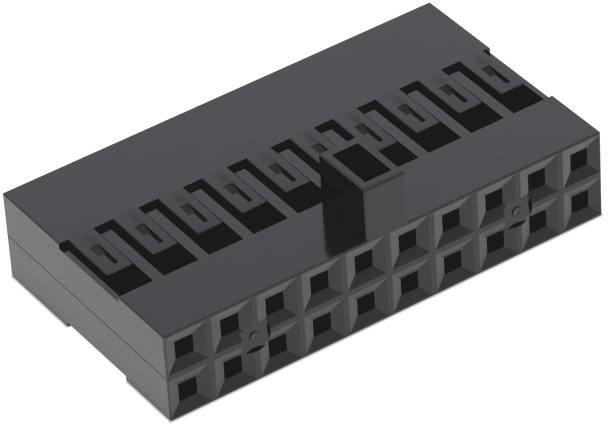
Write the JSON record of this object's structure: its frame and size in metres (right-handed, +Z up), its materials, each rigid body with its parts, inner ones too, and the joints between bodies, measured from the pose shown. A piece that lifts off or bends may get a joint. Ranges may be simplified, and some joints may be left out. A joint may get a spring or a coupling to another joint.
{
  "type": "crimp terminal connector housing",
  "caption": "Dual-row socket housing for crimp terminals on a standard pin-header grid, with lead-in mating face, spring lances, open wire side and a hollow polarising key on top.",
  "frame": {"origin": "centre of the underside of the box round the part, on the surface that it rests on", "axes": "+X along the rows of ways, +Y toward the wire side, so the mating face looks toward -Y, +Z up toward the polarising key"},
  "size_m": [0.0252, 0.014, 0.0081],
  "materials": {
    "housing_plastic": "satin black moulded thermoplastic"
  },
  "bodies": {
    "root": {"connector_housing": "housing_plastic"}
  },
  "joints": []
}
